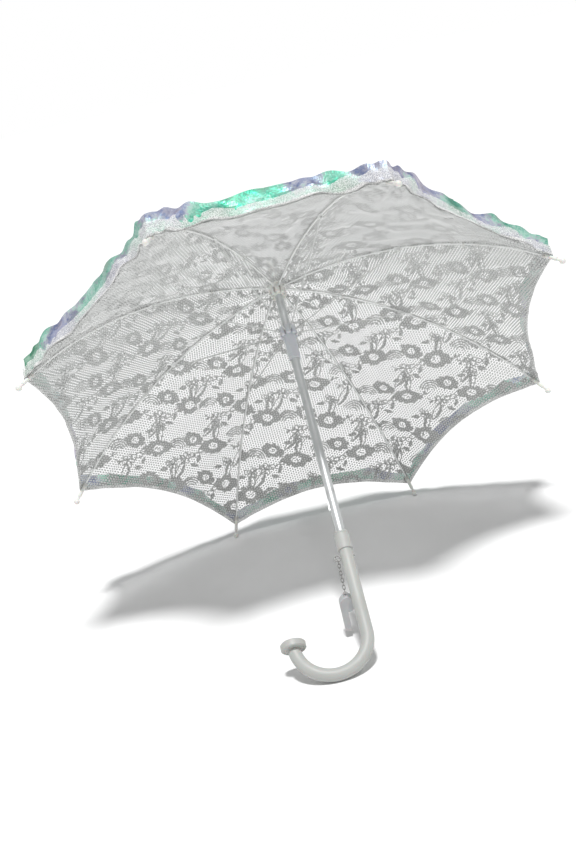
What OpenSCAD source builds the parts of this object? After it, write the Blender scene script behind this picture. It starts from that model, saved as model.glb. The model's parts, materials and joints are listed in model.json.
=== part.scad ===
// Lace parasol with a crook handle, lying open on two rib tips and the bend of its handle.
// Each piece is drawn with the shaft upright, in a design frame: its origin is the middle of
// the circle of rib tips, +Z runs up the shaft to the ferrule, and the crook bends towards +X.
// resting() then lays it down: the shaft leans up and away along +Y, and the crook points to -X.

/* [Canopy] */
// Distance from the shaft's axis to the middle of each rib tip's ball
tip_r = 330; // [320:1:340]
// Height of the rib pivots above the circle of rib tips
crown_z = 157; // [154:0.5:160]
// How far the arc of a rib stands off its chord
rib_bow = 38.6; // [38:0.1:40]
// Where the hem crosses a rib, from the shaft's axis
hem_r = 321; // [316:1:323]
// How much nearer to the shaft the hem is half way between two ribs
scallop = 17; // [10:1:24]
// How far the cloth dips inwards half way between two ribs
gore_dip = 5; // [0:0.5:8]
// Thickness of the cloth's solid
cloth_t = 1; // [0.8:0.1:1.4]
// Width of the frill of film on the hem
frill_w = 24; // [18:1:28]
// Angle between the frill and the cloth
frill_lean = 55; // [35:1:70]

/* [Frame] */
// Diameter of the rib wire
rib_d = 1.8; // [1.6:0.1:2]
// Diameter of the stretcher wire
stretcher_d = 1.5; // [1.3:0.1:1.6]
// Distance from the shaft's axis to the rib pivots and the stretchers' inner ends
pivot_r = 9; // [9:0.1:9.4]
// Distance from the shaft's axis to the stretchers' outer pivots
bracket_r = 160; // [156:1:164]
// Height of the stretchers' inner ends, where the runner holds them
runner_z = 87; // [86:0.5:88]
// Outer diameter of the shaft tube
shaft_d = 10; // [9.6:0.1:10]
// Wall of the shaft tube
shaft_wall = 0.6; // [0.5:0.1:0.8]

/* [Handle] */
// Height of the collar's upper face, below the circle of rib tips
collar_z = -197; // [-199:1:-195]
// Length of the collar
collar_h = 21; // [18:1:24]
// Diameter of the collar
collar_d = 16.4; // [16:0.1:17]
// Diameter of the crook's tube
grip_d = 14; // [13.4:0.1:14.4]
// Where the crook starts to bend
bend_z = -315; // [-320:1:-310]
// Radius of the bend, to the middle of the tube
bend_r = 39; // [36:1:42]
// Diameter of the disc on the crook's end
disc_d = 27; // [25:0.5:29]

/* [Whistle] */
// Diameter of the whistle's barrel
barrel_d = 17; // [15:0.5:18]
// Width of the whistle, along the axis of its barrel
whistle_w = 13; // [12:0.5:15]
// Links in the chain, an odd number
link_count = 9; // [7:2:9]

/* [Hidden] */
$fn = 48;

rib_count = 8;
// Half of the angle between two ribs
half_gore = 180 / rib_count;

// The rib is one arc, from the crown pivot down to the ball
chord = [tip_r - pivot_r, -crown_z];
chord_l = norm(chord);
arc_r = chord_l * chord_l / (8 * rib_bow) + rib_bow / 2;
chord_normal = [crown_z, tip_r - pivot_r] / chord_l;
arc_mid = [(tip_r + pivot_r) / 2, crown_z / 2] - (arc_r - rib_bow) * chord_normal;
function rib_z(r) = arc_mid.y + sqrt(arc_r * arc_r - (r - arc_mid.x) ^ 2);
function rib_angle(r) = acos((r - arc_mid.x) / arc_r);
function along_rib(mm) = mm / arc_r * 180 / PI;
tip_angle = rib_angle(tip_r);
root_angle = rib_angle(pivot_r);
// The stretchers' outer pivots lie half way up between their inner ends and the crown pivots,
// so that both arms are equally long and the inner ends keep their distance from the shaft
bracket_z = (crown_z + runner_z) / 2;
bracket_angle = rib_angle(bracket_r);
arm = [pivot_r - bracket_r, runner_z - bracket_z];

// Rib roots and rib tips
eye_r = 2.1;
eye_t = 1.8;
ring_d = 1.2;
tip_ball_r = 3.5;
socket_r = 2.2;
socket_l = 16;
neck_l = 4;

// Saddle clips that carry the stretchers
clip_l = 7;
clip_t = 0.6;
clip_gap = 2.2;
rivet_d = 1.4;
stretcher_eye_r = 1.5;
stretcher_eye_t = 1.6;

// Crown and runner
hub_r = 10.5;
slot_w = 2.2;
crown_bottom = crown_z - 12;
crown_top = crown_z + 6;
sleeve_r = 7.2;
flange_top = runner_z + 7;
flange_h = 14;
runner_bottom = runner_z - 42;
lip_h = 6;

// Shaft, from inside the handle to inside the ferrule
shaft_r = shaft_d / 2;
bore_r = shaft_r - shaft_wall;
shaft_bottom = -300;
ferrule_r = 4.4;
ferrule_pin_l = 24;
cap_top = crown_top + 9;
shaft_top = cap_top + 4;

// Spring catches: sheet steel blades in slots of the shaft, with noses that stand out of it
blade_t = 1.6;
catch_slot_w = 2;
nose_r = 6.5;
keyway_r = 6.8;
top_catch_z = runner_bottom - 0.6;
bottom_catch_z = -166;

// Handle screw, whose ring holds the chain
eye_z = collar_z - collar_h - 8;
eye_major = 3.2;
eye_wire = 0.7;
eye_x = grip_d / 2 + eye_major + 0.6;
shank_r = 1;

// The parasol lies on two rib tips and the bend: both are then equally far below its middle
low_tip = tip_r * cos(half_gore);
low_bend = bend_r - bend_z;
drop = norm([low_tip, low_bend]);
shaft_slope = acos((grip_d / 2 - tip_ball_r) / drop) - atan2(low_bend, low_tip);
rest_h = low_bend * sin(shaft_slope) + grip_d / 2;
// Middle of the footprint, measured along the floor from the circle of tips
rest_y = 25;
function rest_point(p) = [
    -p.x,
    rest_y - p.y * sin(shaft_slope) + p.z * cos(shaft_slope),
    rest_h + p.y * cos(shaft_slope) + p.z * sin(shaft_slope)
];

// Chain of oval links
link_r = 1.35;
link_half = 1.2;
link_wire = 0.38;
link_pitch = 2 * (link_r + link_half - link_wire) - 0.1;
chain_l = (link_count - 1) * link_pitch;
// Middle of the wire at the lowest point of the screw's ring, where the chain swings
chain_pivot = rest_point([eye_x, 0, eye_z - eye_major]);
first_link = chain_pivot + [0, 0, eye_wire + link_wire + 0.05 - link_r - link_half];

// Whistle, hanging from its lug
lug_r = 2.4;
lug_wire = 0.5;
// Room between the lug and the last link, so that the lug can tip in it
lug_gap = 0.45;
// Middle of the lug's wire at its top, where the whistle swings
whistle_pivot = first_link - [0, 0, chain_l + link_half + link_r - link_wire - lug_wire - lug_gap];
barrel_r = barrel_d / 2;
barrel_z = -lug_r - barrel_r + 0.4;
mouth_h = 7;
mouth_l = 30;
wall = 1.4;
pea_r = 4;

module resting() {
    translate([0, rest_y, rest_h])
        rotate([shaft_slope - 90, 0, 0])
            rotate([0, 0, 180])
                children();
}

// Ribs are numbered clockwise, seen from above the ferrule, from the one beside the crook
function rib_azimuth(k) = half_gore - (k - 1) * 360 / rib_count;

// Lays a drawing of radius and height in the plane of rib k
module rib_plane(k) {
    resting() rotate([0, 0, rib_azimuth(k)]) rotate([90, 0, 0]) children();
}

// A stretch of round tube or wire that follows the rib's arc
module rib_arc(from_angle, to_angle, r, inner = 0) {
    translate([arc_mid.x, arc_mid.y, 0])
        rotate([0, 0, from_angle])
            rotate_extrude(angle = to_angle - from_angle, $fn = 180)
                translate([arc_r, 0])
                    difference() {
                        circle(r = r, $fn = 24);
                        if (inner > 0) circle(r = inner, $fn = 24);
                    }
}

module flat_disc(r, t) {
    cylinder(r = r, h = t, center = true);
}

// ---- Shaft and what is fixed to it ----

module shaft() {
    color([0.88, 0.89, 0.88])
        resting()
            difference() {
                translate([0, 0, shaft_bottom])
                    cylinder(r = shaft_r, h = shaft_top - shaft_bottom);
                translate([0, 0, shaft_bottom - 1])
                    cylinder(r = bore_r, h = shaft_top - shaft_bottom + 2);
                translate([bore_r - 1, -catch_slot_w / 2, top_catch_z - 22])
                    cube([3, catch_slot_w, 24]);
                translate([bore_r - 1, -catch_slot_w / 2, bottom_catch_z - 2])
                    cube([3, catch_slot_w, 24]);
                translate([0, 0, eye_z])
                    rotate([0, 90, 0])
                        cylinder(r = shank_r + 0.05, h = shaft_d * 2, center = true);
            }
}

module rib_slots(inner_r, bottom, height) {
    for (k = [1 : rib_count])
        rotate([0, 0, rib_azimuth(k)])
            translate([inner_r, -slot_w / 2, bottom])
                cube([hub_r, slot_w, height]);
}

module crown() {
    color([0.8, 0.81, 0.79])
        resting()
            difference() {
                rotate_extrude()
                    polygon([
                        [shaft_r + 0.02, crown_bottom],
                        [hub_r - 1.6, crown_bottom],
                        [hub_r - 0.6, crown_bottom + 1],
                        [hub_r - 0.6, crown_z - 5],
                        [hub_r, crown_z - 4],
                        [hub_r, crown_top - 1],
                        [hub_r - 1, crown_top],
                        [shaft_r + 0.02, crown_top]
                    ]);
                rib_slots(pivot_r - eye_r - 0.4, crown_bottom - 1, crown_z - crown_bottom + eye_r + 2);
                translate([0, 0, crown_z])
                    rotate_extrude()
                        translate([pivot_r, 0])
                            circle(d = ring_d + 0.04, $fn = 24);
            }
}

module crown_ring() {
    color([0.7, 0.7, 0.7])
        resting()
            translate([0, 0, crown_z])
                rotate_extrude()
                    translate([pivot_r, 0])
                        circle(d = ring_d, $fn = 24);
}

// Round patch where the gores meet, clamped between the crown and the cap
module canopy_centre() {
    color([0.93, 0.94, 0.92])
        resting()
            rotate_extrude()
                polygon([
                    [shaft_r + 0.1, crown_top + 0.2],
                    [hub_r + 0.2, crown_top + 0.2],
                    [hub_r + 4.6, crown_top - 2],
                    [hub_r + 5, crown_top - 1],
                    [hub_r + 0.3, crown_top + 1.2],
                    [shaft_r + 0.1, crown_top + 1.2]
                ]);
}

module top_cap() {
    color([0.93, 0.93, 0.91])
        resting()
            rotate_extrude()
                polygon([
                    [shaft_r + 0.02, crown_top + 1.3],
                    [hub_r, crown_top + 1.3],
                    [hub_r, crown_top + 3],
                    [hub_r - 1.2, crown_top + 4.6],
                    [ferrule_r + 2.4, crown_top + 6],
                    [ferrule_r + 1.8, cap_top],
                    [shaft_r + 0.02, cap_top]
                ]);
}

module ferrule() {
    color([0.93, 0.93, 0.91])
        resting()
            difference() {
                union() {
                    translate([0, 0, cap_top + 0.1])
                        cylinder(r1 = ferrule_r + 1.8, r2 = ferrule_r + 1.6, h = 6);
                    translate([0, 0, cap_top + 6])
                        cylinder(r = ferrule_r, h = ferrule_pin_l);
                    translate([0, 0, cap_top + 6 + ferrule_pin_l])
                        cylinder(r1 = ferrule_r, r2 = ferrule_r - 1.2, h = 3);
                    translate([0, 0, cap_top + 9 + ferrule_pin_l])
                        cylinder(r1 = ferrule_r - 1.2, r2 = ferrule_r - 2.8, h = 1.4);
                }
                translate([0, 0, cap_top - 1])
                    cylinder(r = shaft_r + 0.02, h = shaft_top - cap_top + 1.2);
            }
}

module handle_tube() {
    translate([0, 0, collar_z - collar_h])
        cylinder(r = collar_d / 2, h = collar_h);
    translate([0, 0, collar_z - 2])
        cylinder(r = collar_d / 2 + 0.3, h = 2);
    translate([0, 0, bend_z])
        cylinder(r = grip_d / 2, h = collar_z - bend_z - 1);
    translate([bend_r, 0, bend_z])
        rotate([-90, 0, 0])
            rotate_extrude(angle = 180, $fn = 120)
                translate([bend_r, 0])
                    circle(d = grip_d);
}

module handle() {
    color([0.8, 0.81, 0.79])
        resting()
            difference() {
                handle_tube();
                translate([0, 0, shaft_bottom - 0.2])
                    cylinder(r = shaft_r + 0.02, h = collar_z - shaft_bottom + 1);
                translate([0, 0, eye_z])
                    rotate([0, 90, 0])
                        cylinder(r = shank_r + 0.05, h = grip_d * 2, center = true);
            }
}

module handle_disc() {
    color([0.78, 0.79, 0.77])
        resting()
            translate([2 * bend_r, 0, bend_z])
                rotate_extrude($fn = 72)
                    polygon([
                        [0, 0.1],
                        [grip_d / 2 + 0.05, 0.1],
                        [grip_d / 2 + 0.05, -2],
                        [disc_d / 2 - 4, -2],
                        [disc_d / 2 - 3.4, -1.3],
                        [disc_d / 2 - 2.6, -1.3],
                        [disc_d / 2 - 2, -2],
                        [disc_d / 2 - 1, -2],
                        [disc_d / 2, -1],
                        [disc_d / 2, 4.6],
                        [disc_d / 2 - 1.4, 6],
                        [0, 6.6]
                    ]);
}

module screw_eye() {
    color([0.45, 0.45, 0.44])
        resting()
            translate([0, 0, eye_z]) {
                translate([eye_x, 0, 0])
                    rotate([90, 0, 0])
                        rotate_extrude()
                            translate([eye_major, 0])
                                circle(r = eye_wire, $fn = 24);
                translate([-grip_d / 2 - 1, 0, 0])
                    rotate([0, 90, 0])
                        cylinder(r = shank_r, h = eye_x - eye_major + grip_d / 2 + 1);
                translate([grip_d / 2 + 0.1, 0, 0])
                    rotate([0, 90, 0])
                        cylinder(r = shank_r + 0.8, h = 0.5);
            }
}

// ---- Runner and catches ----

module runner() {
    color([0.8, 0.82, 0.85])
        resting()
            difference() {
                rotate_extrude()
                    polygon([
                        [shaft_r + 0.15, runner_bottom],
                        [sleeve_r - 0.8, runner_bottom],
                        [sleeve_r - 0.2, runner_bottom + 0.8],
                        [sleeve_r - 0.2, runner_bottom + lip_h],
                        [sleeve_r, runner_bottom + lip_h + 0.6],
                        [sleeve_r, flange_top - flange_h],
                        [hub_r - 1, flange_top - flange_h],
                        [hub_r, flange_top - flange_h + 1],
                        [hub_r, flange_top - 1],
                        [hub_r - 1, flange_top],
                        [shaft_r + 0.15, flange_top]
                    ]);
                rib_slots(sleeve_r, flange_top - flange_h - 1, flange_h + 2);
                translate([0, -catch_slot_w / 2 - 0.2, runner_bottom - 1])
                    cube([keyway_r, catch_slot_w + 0.4, flange_top - runner_bottom + 2]);
            }
}

// A catch blade: its nose has a step that faces up where up is 1, and down where it is -1
module catch_blade(up) {
    resting()
        translate([0, blade_t / 2, up > 0 ? top_catch_z : bottom_catch_z])
            rotate([90, 0, 0])
                linear_extrude(height = blade_t)
                    polygon([
                        [bore_r - 1.3, up * 3],
                        [bore_r - 0.1, up * 3],
                        [bore_r - 0.1, 0],
                        [nose_r, 0],
                        [nose_r, -up * 2],
                        [bore_r - 0.1, -up * 18],
                        [bore_r - 0.1, -up * 26],
                        [bore_r - 1.3, -up * 26]
                    ]);
}

module top_catch() {
    color([0.7, 0.7, 0.7]) catch_blade(1);
}

module bottom_catch() {
    color([0.7, 0.7, 0.7]) catch_blade(-1);
}

// ---- Ribs, tips and stretchers ----

module rib(k) {
    wire_start = root_angle - along_rib(eye_r - 0.4);
    wire_end = tip_angle + along_rib(tip_ball_r + neck_l + 0.2);
    color([0.72, 0.73, 0.72])
        rib_plane(k) {
            difference() {
                union() {
                    rib_arc(wire_end, wire_start, rib_d / 2);
                    translate([pivot_r, crown_z, 0])
                        flat_disc(eye_r, eye_t);
                    clip();
                }
                translate([pivot_r, crown_z, 0])
                    flat_disc(ring_d / 2 + 0.15, eye_t * 2);
                translate([bracket_r, bracket_z, 0])
                    flat_disc(rivet_d / 2 + 0.02, clip_gap * 4);
            }
            translate([bracket_r, bracket_z, 0]) {
                flat_disc(rivet_d / 2, clip_gap + 2 * clip_t + 0.6);
                for (side = [-1, 1])
                    translate([0, 0, side * (clip_gap / 2 + clip_t + 0.3)])
                        flat_disc(rivet_d / 2 + 0.5, 0.5);
            }
        }
}

// Saddle of sheet steel over the wire, with an ear on each side down to the rivet
module clip() {
    translate([arc_mid.x, arc_mid.y, 0])
        rotate([0, 0, bracket_angle])
            translate([arc_r, 0, 0]) {
                translate([rib_d / 2 - 0.2, -clip_l / 2, -clip_gap / 2 - clip_t])
                    cube([clip_t + 0.2, clip_l, clip_gap + 2 * clip_t]);
                for (side = [-1, 1])
                    translate([-1.5, 0, side * (clip_gap + clip_t) / 2])
                        cube([3 + rib_d, clip_l, clip_t], center = true);
            }
    for (side = [-1, 1])
        translate([bracket_r, bracket_z, side * (clip_gap + clip_t) / 2])
            flat_disc(rivet_d / 2 + 1, clip_t);
}

module rib_tip(k) {
    socket_start = tip_angle + along_rib(tip_ball_r + neck_l);
    socket_end = socket_start + along_rib(socket_l);
    color([0.92, 0.92, 0.9])
        rib_plane(k) {
            translate([tip_r, 0, 0])
                rotate([0, 0, tip_angle])
                    rotate([-90, 0, 0])
                        rotate_extrude()
                            tip_profile();
            rib_arc(socket_start, socket_end, socket_r, rib_d / 2 + 0.02);
        }
}

// Half outline of the ball and the neck, which stands on the ball along +Y
module tip_profile() {
    flat = 0.04;
    intersection() {
        union() {
            circle(r = tip_ball_r);
            square([socket_r - 0.7, tip_ball_r + neck_l + 0.1]);
        }
        translate([0, flat - tip_ball_r])
            square([tip_ball_r, 2 * tip_ball_r + neck_l]);
    }
}

module stretcher(k) {
    color([0.75, 0.76, 0.75])
        rib_plane(k)
            translate([bracket_r, bracket_z, 0])
                rotate([0, 0, atan2(arm.y, arm.x)])
                    difference() {
                        union() {
                            translate([stretcher_eye_r - 0.4, 0, 0])
                                rotate([0, 90, 0])
                                    cylinder(d = stretcher_d, h = norm(arm) - 2 * stretcher_eye_r + 0.8, $fn = 24);
                            flat_disc(stretcher_eye_r, stretcher_eye_t);
                            translate([norm(arm), 0, 0])
                                flat_disc(stretcher_eye_r, stretcher_eye_t);
                        }
                        flat_disc(rivet_d / 2 + 0.1, stretcher_eye_t * 2);
                        translate([norm(arm), 0, 0])
                            flat_disc(ring_d / 2, stretcher_eye_t * 2);
                    }
}

// ---- Canopy and frill ----

// The cloth runs straight from rib to rib and dips a little between them.
// side is 0 on the rib and 1 or -1 half way to the next; lift is the height above the rib wire.
function hem_at(side) = hem_r - scallop * (1 - (1 - abs(side)) ^ 2);
function cloth_point(r, side, lift) =
    let (
        gap = 0.12,
        turn = side * (half_gore - gap),
        flat_r = cos(half_gore) / cos(half_gore * (1 - abs(side))),
        share = (r - pivot_r) / (tip_r - pivot_r),
        high = lift - gore_dip * sin(180 * share) * (1 - (1 - abs(side)) ^ 2),
        edge = (r + high * (r - arc_mid.x) / arc_r) * flat_r
    )
    [edge * cos(turn), edge * sin(turn), rib_z(r) + high * (rib_z(r) - arc_mid.y) / arc_r];

// A closed sheet between two grids of points, each with the given columns and rows
module sheet(below, above, columns, rows) {
    size = columns * rows;
    function at(i, j) = j * columns + i;
    inside = [for (j = [0 : rows - 2], i = [0 : columns - 2])
        [at(i, j), at(i + 1, j), at(i + 1, j + 1), at(i, j + 1)]];
    outside = [for (f = inside) [f[3] + size, f[2] + size, f[1] + size, f[0] + size]];
    rim = concat(
        [for (i = [0 : columns - 2]) at(i, 0)],
        [for (j = [0 : rows - 2]) at(columns - 1, j)],
        [for (i = [columns - 1 : -1 : 1]) at(i, rows - 1)],
        [for (j = [rows - 1 : -1 : 1]) at(0, j)]
    );
    edges = [for (n = [0 : len(rim) - 1])
        let (a = rim[n], b = rim[(n + 1) % len(rim)])
        [b, a, a + size, b + size]];
    polyhedron(concat(below, above), concat(inside, outside, edges), convexity = 6);
}

cloth_lift = 2.6;
cloth_from = hub_r + 1.5;
cloth_columns = 11;
cloth_rows = 13;

function cloth_grid(lift) = [
    for (j = [0 : cloth_rows - 1], i = [0 : cloth_columns - 1])
        let (side = -1 + 2 * i / (cloth_columns - 1))
        cloth_point(cloth_from + (hem_at(side) - cloth_from) * j / (cloth_rows - 1), side, lift)
];

module canopy(k) {
    color([0.93, 0.94, 0.92, 0.6])
        resting()
            rotate([0, 0, rib_azimuth(k)])
                sheet(cloth_grid(cloth_lift), cloth_grid(cloth_lift + cloth_t), cloth_columns, cloth_rows);
}

frill_columns = 13;
frill_rows = 4;

// The frill is sewn along the hem and leans back over the cloth, towards the ferrule
function frill_grid(t) = [
    for (j = [0 : frill_rows - 1], i = [0 : frill_columns - 1])
        let (
            side = -1 + 2 * i / (frill_columns - 1),
            out = frill_w * j / (frill_rows - 1),
            back = out * cos(frill_lean) + t * sin(frill_lean),
            up = out * sin(frill_lean) - t * cos(frill_lean)
        )
        cloth_point(hem_at(side) - 1.5 - back, side, cloth_lift + cloth_t + 1.2 + up)
];

module frill(k) {
    color([0.62, 0.8, 0.78, 0.7])
        resting()
            rotate([0, 0, rib_azimuth(k)])
                sheet(frill_grid(cloth_t * 0.8), frill_grid(0), frill_columns, frill_rows);
}

// ---- Chain and whistle, hanging straight down ----

// An oval link in the plane of X and Z, with its middle at the origin
module chain_link() {
    for (end = [0, 1])
        mirror([0, 0, end])
            translate([0, 0, link_half])
                rotate([90, 0, 0])
                    rotate_extrude(angle = 180)
                        translate([link_r, 0])
                            circle(r = link_wire, $fn = 16);
    for (side = [-1, 1])
        translate([side * link_r, 0, 0])
            cylinder(r = link_wire, h = 2 * link_half, center = true, $fn = 16);
}

module chain() {
    color([0.4, 0.4, 0.39])
        translate(first_link)
            for (n = [0 : link_count - 1])
                translate([0, 0, -n * link_pitch])
                    rotate([0, 0, n % 2 == 0 ? 90 : 0])
                        chain_link();
}

// Places the whistle by the middle of its lug
module at_whistle() {
    translate(whistle_pivot - [0, 0, lug_r]) children();
}

module whistle() {
    color([0.75, 0.76, 0.76])
        at_whistle() {
            rotate([90, 0, 0])
                difference() {
                    linear_extrude(height = whistle_w, center = true)
                        union() {
                            translate([0, barrel_z])
                                circle(r = barrel_r);
                            translate([-barrel_r, barrel_z - mouth_l])
                                square([mouth_h, mouth_l]);
                        }
                    linear_extrude(height = whistle_w - 2 * wall, center = true)
                        union() {
                            translate([0, barrel_z])
                                circle(r = barrel_r - wall);
                            translate([-barrel_r + 2, barrel_z - mouth_l - 1])
                                square([2.4, mouth_l]);
                        }
                    translate([-barrel_r - 1, barrel_z - 8, 0])
                        linear_extrude(height = whistle_w - 2 * wall, center = true)
                            polygon([[0, 0], [4, 0], [4, 3.4], [0, 6]]);
                }
            rotate([90, 0, 0])
                rotate_extrude()
                    translate([lug_r, 0])
                        circle(r = lug_wire, $fn = 24);
        }
}

module whistle_pea() {
    color([0.72, 0.55, 0.36])
        at_whistle()
            translate([0.6, 0, barrel_z - barrel_r + wall + pea_r + 0.1])
                sphere(r = pea_r);
}

shaft();
crown();
crown_ring();
canopy_centre();
top_cap();
ferrule();
runner();
top_catch();
bottom_catch();
handle();
handle_disc();
screw_eye();
chain();
whistle();
whistle_pea();
for (k = [1 : rib_count]) {
    rib(k);
    rib_tip(k);
    stretcher(k);
    canopy(k);
    frill(k);
}
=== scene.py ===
# A child's lace parasol with a crook handle, lying open on two rib tips and the bend of its crook.
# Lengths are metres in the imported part's frame, except where a name or a note says millimetres.
import json
import math
import random
import bpy
import numpy as np
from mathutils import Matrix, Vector


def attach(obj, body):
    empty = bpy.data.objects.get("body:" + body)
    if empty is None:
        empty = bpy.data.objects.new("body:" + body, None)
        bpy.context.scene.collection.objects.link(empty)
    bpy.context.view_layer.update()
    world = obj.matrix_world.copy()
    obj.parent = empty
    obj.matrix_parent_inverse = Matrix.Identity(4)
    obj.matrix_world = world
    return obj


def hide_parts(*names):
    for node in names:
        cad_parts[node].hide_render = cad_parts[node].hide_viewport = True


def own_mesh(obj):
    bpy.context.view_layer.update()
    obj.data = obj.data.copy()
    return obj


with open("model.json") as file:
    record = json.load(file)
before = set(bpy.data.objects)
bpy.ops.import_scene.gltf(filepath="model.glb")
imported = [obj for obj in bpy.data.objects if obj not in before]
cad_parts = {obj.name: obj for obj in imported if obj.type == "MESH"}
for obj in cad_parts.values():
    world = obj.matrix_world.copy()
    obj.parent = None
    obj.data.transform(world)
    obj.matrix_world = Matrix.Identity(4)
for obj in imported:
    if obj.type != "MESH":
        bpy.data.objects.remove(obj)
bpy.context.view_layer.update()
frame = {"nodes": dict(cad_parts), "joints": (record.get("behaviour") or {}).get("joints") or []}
mm = 0.001


# Shader building: Python expressions on a Wire add Math nodes, and Paint.node() adds any other node

class Wire:
    def __init__(self, paint, socket):
        self.paint = paint
        self.socket = socket

    def maths(self, operation, *values):
        settings = {"operation": operation}
        return self.paint.node("ShaderNodeMath", settings, dict(enumerate(values)))

    def __add__(self, other):
        return self.maths("ADD", self, other)

    def __radd__(self, other):
        return self.maths("ADD", other, self)

    def __sub__(self, other):
        return self.maths("SUBTRACT", self, other)

    def __rsub__(self, other):
        return self.maths("SUBTRACT", other, self)

    def __mul__(self, other):
        return self.maths("MULTIPLY", self, other)

    def __rmul__(self, other):
        return self.maths("MULTIPLY", other, self)

    def cosine(self):
        return self.maths("COSINE", self)

    # 0 below low, 1 above high, and smooth between them
    def rising(self, low, high):
        sockets = {"Value": self, "From Min": low, "From Max": high}
        return self.paint.node("ShaderNodeMapRange", {"interpolation_type": "SMOOTHSTEP"}, sockets)


class Paint:
    def __init__(self, name, finish):
        self.material = bpy.data.materials.new(name)
        self.material.use_nodes = True
        self.tree = self.material.node_tree
        self.skin = self.tree.nodes["Principled BSDF"]
        for socket, value in finish.items():
            self.skin.inputs[socket].default_value = value

    def node(self, kind, settings=None, sockets=None, output=0):
        made = self.tree.nodes.new(kind)
        for name, value in (settings or {}).items():
            if name == "stops":
                self.setStops(made.color_ramp.elements, value)
            else:
                setattr(made, name, value)
        for name, value in (sockets or {}).items():
            self.feed(made.inputs[name], value)
        return Wire(self, made.outputs[output])

    def setStops(self, elements, stops):
        while len(elements) < len(stops):
            elements.new(1.0)
        for element, (place, colour) in zip(elements, stops):
            element.position = place
            element.color = (*colour, 1.0)

    def feed(self, socket, value):
        if isinstance(value, Wire):
            self.tree.links.new(value.socket, socket)
        else:
            socket.default_value = value

    def skinTakes(self, **wires):
        for name, wire in wires.items():
            self.feed(self.skin.inputs[{"colour": "Base Color"}.get(name, name.capitalize())], wire)

    def place(self):
        return self.node("ShaderNodeTexCoord", output="Object")

    # The place with one direction stretched, so that a noise runs along it as fine lines
    def drawnPlace(self, direction, stretch):
        along = self.node("ShaderNodeVectorMath", {"operation": "DOT_PRODUCT"},
                          {0: self.place(), 1: direction}, output="Value")
        shift = self.node("ShaderNodeVectorMath", {"operation": "SCALE"},
                          {0: direction, "Scale": along * (1 / stretch - 1)})
        return self.node("ShaderNodeVectorMath", {"operation": "ADD"}, {0: self.place(), 1: shift})

    def noise(self, scale, detail=3.0, place=None):
        sockets = {"Vector": place or self.place(), "Scale": scale, "Detail": detail}
        return self.node("ShaderNodeTexNoise", sockets=sockets)

    def ramp(self, value, stops):
        return self.node("ShaderNodeValToRGB", {"stops": stops}, {"Fac": value})

    def mix(self, share, low, high):
        return self.node("ShaderNodeMix", {"data_type": "RGBA"}, {0: share, 6: low, 7: high}, output=2)

    def bump(self, height, strength, distance):
        sockets = {"Height": height, "Strength": strength, "Distance": distance}
        return self.node("ShaderNodeBump", sockets=sockets)


def tone(red, green, blue):
    return (red, green, blue, 1.0)


# The frame's own directions: up runs along the shaft to the ferrule, outward[k] along rib k

ribCount = 8
joints = {joint["name"]: joint for joint in frame["joints"]}
up = -Vector(joints["runner_slide"]["axis"]).normalized()
ribPivots = [Vector(joints[f"rib_{k + 1}_hinge"]["pos_m"]) for k in range(ribCount)]
crownCentre = sum(ribPivots, Vector()) / ribCount
outward = [(pivot - crownCentre).normalized() for pivot in ribPivots]
across = [up.cross(direction) for direction in outward]
halfGore = math.pi / ribCount

canopy = {
    "tipRadius": 0.330,
    "crownHeight": 0.157,
    "ribBow": 0.0386,
    "hemRadius": 0.321,
    "scallop": 0.017,
    "goreDip": 0.005,
    "lift": 0.0031,         # the net's middle above the rib wire's middle
    "startRadius": 0.0122,
    "pleatHeight": 0.0019,  # of the gathers that run in to each rib tip
    "pleatCount": 19,
    "pleatShares": (0.8, 1.6),  # of their height, on the lower and on the upper side
    "pleatReach": 0.095,
    "pleatStart": 0.03,     # gathers fade towards the rib from here
    "pleatFoot": 0.012,     # they fan out from this far beyond the hem
    "levelShare": 0.45,     # share of the upper side's look where the canopy runs level
    "slack": 0.0011,
    "slackWaves": [(61, 19, 1.0), (97, -31, 2.3)],  # per metre outwards, per radian round, per rib
}
canopy["pivotRadius"] = (ribPivots[0] - crownCentre).length
ribSpan = canopy["tipRadius"] - canopy["pivotRadius"]
ribChord = math.hypot(ribSpan, canopy["crownHeight"])
arcRadius = ribChord ** 2 / (8 * canopy["ribBow"]) + canopy["ribBow"] / 2
arcBack = (arcRadius - canopy["ribBow"]) / ribChord
arcOut = (canopy["tipRadius"] + canopy["pivotRadius"]) / 2 - arcBack * canopy["crownHeight"]
arcHigh = canopy["crownHeight"] / 2 - arcBack * ribSpan
rimCentre = crownCentre - up * canopy["crownHeight"]
hemLength = 2 * halfGore * canopy["hemRadius"]


def ribHeight(radius):
    return arcHigh + np.sqrt(arcRadius ** 2 - (radius - arcOut) ** 2)


# Length along a rib from its pivot to a radius, and back
def alongRib(radius):
    return arcRadius * (np.arccos((canopy["pivotRadius"] - arcOut) / arcRadius)
                        - np.arccos((radius - arcOut) / arcRadius))


def radiusAt(length):
    start = math.acos((canopy["pivotRadius"] - arcOut) / arcRadius)
    return arcOut + arcRadius * np.cos(start - length / arcRadius)


def hemAt(turn):
    side = np.minimum(np.abs(turn) / halfGore, 1)
    return canopy["hemRadius"] - canopy["scallop"] * (1 - (1 - side) ** 2)


# How far a part of the canopy is on the parasol's upper side, where the frill and the hem fall back: 0 to 1
def upperShare(rib, turn):
    rise = outward[rib].z * np.cos(turn) + across[rib].z * np.sin(turn)
    return np.clip(canopy["levelShare"] + rise, 0, 1)


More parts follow.
